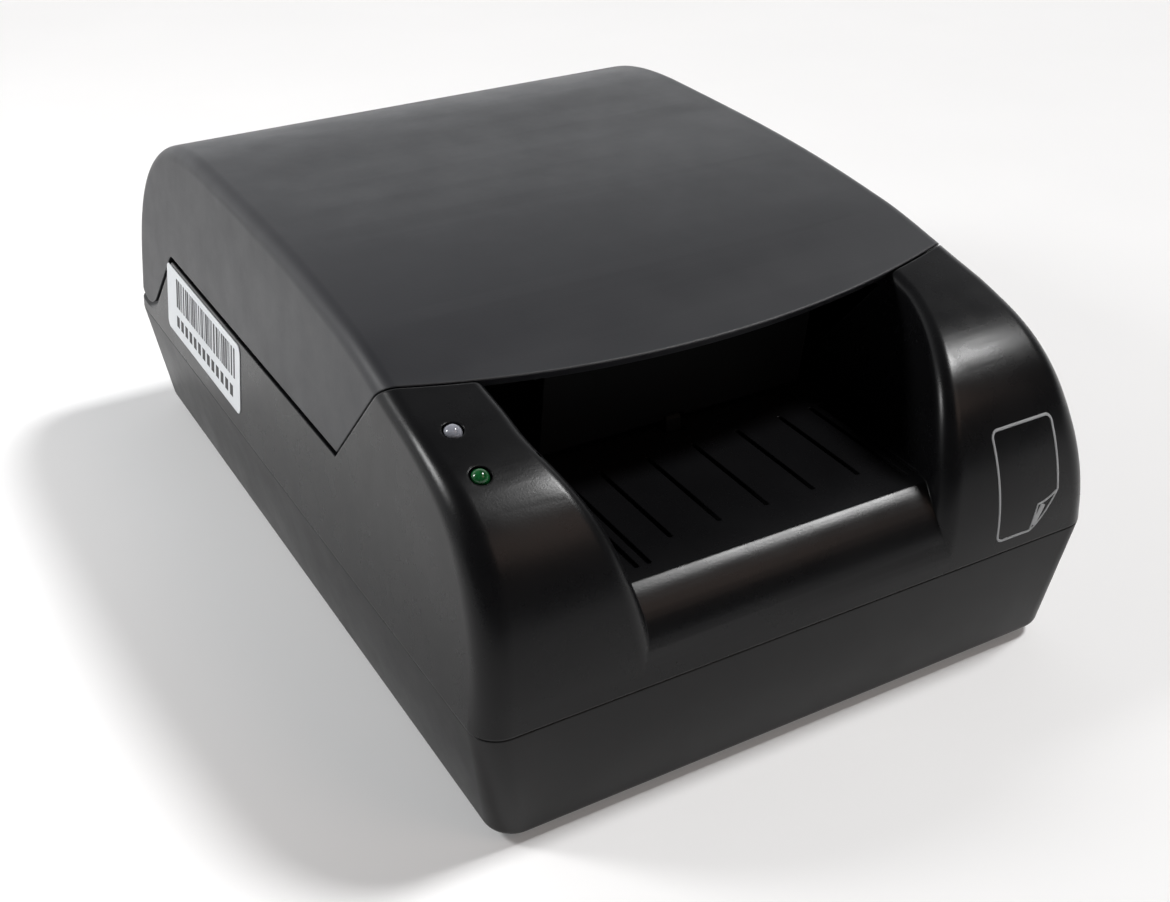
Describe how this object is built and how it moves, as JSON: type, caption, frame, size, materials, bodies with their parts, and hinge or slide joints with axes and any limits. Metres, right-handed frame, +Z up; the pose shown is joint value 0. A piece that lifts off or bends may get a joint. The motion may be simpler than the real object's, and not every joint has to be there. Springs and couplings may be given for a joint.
{
  "type": "id card scanner",
  "caption": "Compact desktop card scanner with a card recess between two shoulders, motorised feed rollers, a line sensor under the bed and a rear-hinged cover with sprung pressure rollers.",
  "frame": {"origin": "on the table under the middle of the casing, at the level of the undersides of the feet", "axes": "+X to the right as seen from the front, +Y from the card recess towards the hinge, +Z up"},
  "size_m": [0.12, 0.175, 0.0705],
  "materials": {
    "shell": "fine-grained satin black moulding",
    "cover": "fine-grained satin dark slate moulding",
    "inner_plastic": "plain black moulding",
    "rubber": "matt black rubber",
    "steel": "ground steel",
    "zinc": "zinc-plated steel",
    "brass": "plain brass",
    "gear_plastic": "white acetal",
    "platen": "white plastic",
    "circuit_board": "green lacquered board",
    "window": "clear flat glass",
    "clear_lens": "clear epoxy",
    "green_lens": "tinted epoxy",
    "socket_plastic": "black connector plastic"
  },
  "bodies": {
    "base": {"base_casing": "shell", "middle_casing": "shell", "foot_front_left": "rubber", "foot_front_right": "rubber", "foot_rear_left": "rubber", "foot_rear_right": "rubber", "casing_screw_front_left": "zinc", "casing_screw_front_right": "zinc", "casing_screw_rear_left": "zinc", "casing_screw_rear_right": "zinc", "status_light_clear": "clear_lens", "status_light_green": "green_lens", "light_board": "circuit_board", "main_board": "circuit_board", "usb_socket": "steel", "power_jack": "socket_plastic", "sensor_glass": "window", "sensor_module": "inner_plastic", "sensor_bracket": "zinc", "gear_plate": "zinc", "bearing_plate": "zinc", "entry_bushing_left": "brass", "entry_bushing_right": "brass", "transport_bushing_left": "brass", "transport_bushing_right": "brass", "idler_axle": "steel", "reduction_axle": "steel", "drive_motor": "zinc", "card_flag_pin": "steel", "card_flag_switch": "inner_plastic", "hinge_pin_left": "steel", "hinge_pin_right": "steel"},
    "cover": {"top_cover": "cover", "pressure_frame": "inner_plastic", "backing_platen": "platen", "frame_screw_front_left": "zinc", "frame_screw_front_right": "zinc", "frame_screw_rear_left": "zinc", "frame_screw_rear_right": "zinc", "entry_presser_spring": "steel", "transport_presser_spring": "steel"},
    "card_flag": {"card_flag": "inner_plastic"},
    "transport_roller": {"transport_shaft": "steel", "transport_roller_left": "rubber", "transport_roller_right": "rubber", "transport_gear": "gear_plastic"},
    "entry_roller": {"entry_shaft": "steel", "entry_roller_left": "rubber", "entry_roller_right": "rubber", "entry_gear": "gear_plastic"},
    "idler_gear": {"idler_gear": "gear_plastic"},
    "reduction_gear": {"reduction_gear": "gear_plastic"},
    "motor_pinion": {"motor_pinion": "brass"},
    "entry_presser": {"entry_presser_shaft": "steel"},
    "entry_presser_rollers": {"entry_presser_left": "inner_plastic", "entry_presser_right": "inner_plastic"},
    "transport_presser": {"transport_presser_shaft": "steel"},
    "transport_presser_rollers": {"transport_presser_left": "inner_plastic", "transport_presser_right": "inner_plastic"}
  },
  "joints": [
    {"name": "cover_hinge", "type": "hinge", "parent": "base", "child": "cover", "pos_m": [0, 0.079, 0.0365], "axis": [-1, 0, 0], "range_deg": [0, 85]},
    {"name": "card_flag_pivot", "type": "hinge", "parent": "base", "child": "card_flag", "pos_m": [0, -0.043, 0.033], "axis": [-1, 0, 0], "range_deg": [0, 48], "stiffness_Nm_per_rad": 0.0005, "springref_deg": -28.65},
    {"name": "transport_roller_spin", "type": "hinge", "parent": "base", "child": "transport_roller", "pos_m": [0, 0.006, 0.0335], "axis": [1, 0, 0], "continuous": true},
    {"name": "entry_roller_spin", "type": "hinge", "parent": "base", "child": "entry_roller", "pos_m": [0, -0.03, 0.0335], "axis": [1, 0, 0], "continuous": true},
    {"name": "idler_gear_spin", "type": "hinge", "parent": "base", "child": "idler_gear", "pos_m": [0, -0.012, 0.02682], "axis": [1, 0, 0], "continuous": true},
    {"name": "reduction_gear_spin", "type": "hinge", "parent": "base", "child": "reduction_gear", "pos_m": [0, 0.0176, 0.02809], "axis": [1, 0, 0], "continuous": true},
    {"name": "motor_pinion_spin", "type": "hinge", "parent": "base", "child": "motor_pinion", "pos_m": [0, 0.03243, 0.0202], "axis": [1, 0, 0], "continuous": true},
    {"name": "entry_presser_lift", "type": "slide", "parent": "cover", "child": "entry_presser", "axis": [0, 0, 1], "range_m": [0, 0.0008], "stiffness_N_per_m": 600, "springref_m": -0.002, "deforming": ["entry_presser_spring"]},
    {"name": "transport_presser_lift", "type": "slide", "parent": "cover", "child": "transport_presser", "axis": [0, 0, 1], "range_m": [0, 0.0008], "stiffness_N_per_m": 600, "springref_m": -0.002, "deforming": ["transport_presser_spring"]},
    {"name": "entry_presser_spin", "type": "hinge", "parent": "entry_presser", "child": "entry_presser_rollers", "pos_m": [0, -0.03, 0.0443], "axis": [1, 0, 0], "continuous": true},
    {"name": "transport_presser_spin", "type": "hinge", "parent": "transport_presser", "child": "transport_presser_rollers", "pos_m": [0, 0.006, 0.0443], "axis": [1, 0, 0], "continuous": true}
  ],
  "couplings": [
    {"joint": "entry_roller_spin", "follows": "transport_roller_spin", "ratio": 1},
    {"joint": "idler_gear_spin", "follows": "transport_roller_spin", "ratio": -0.6},
    {"joint": "reduction_gear_spin", "follows": "transport_roller_spin", "ratio": -1.2857},
    {"joint": "motor_pinion_spin", "follows": "transport_roller_spin", "ratio": 3.2143}
  ]
}
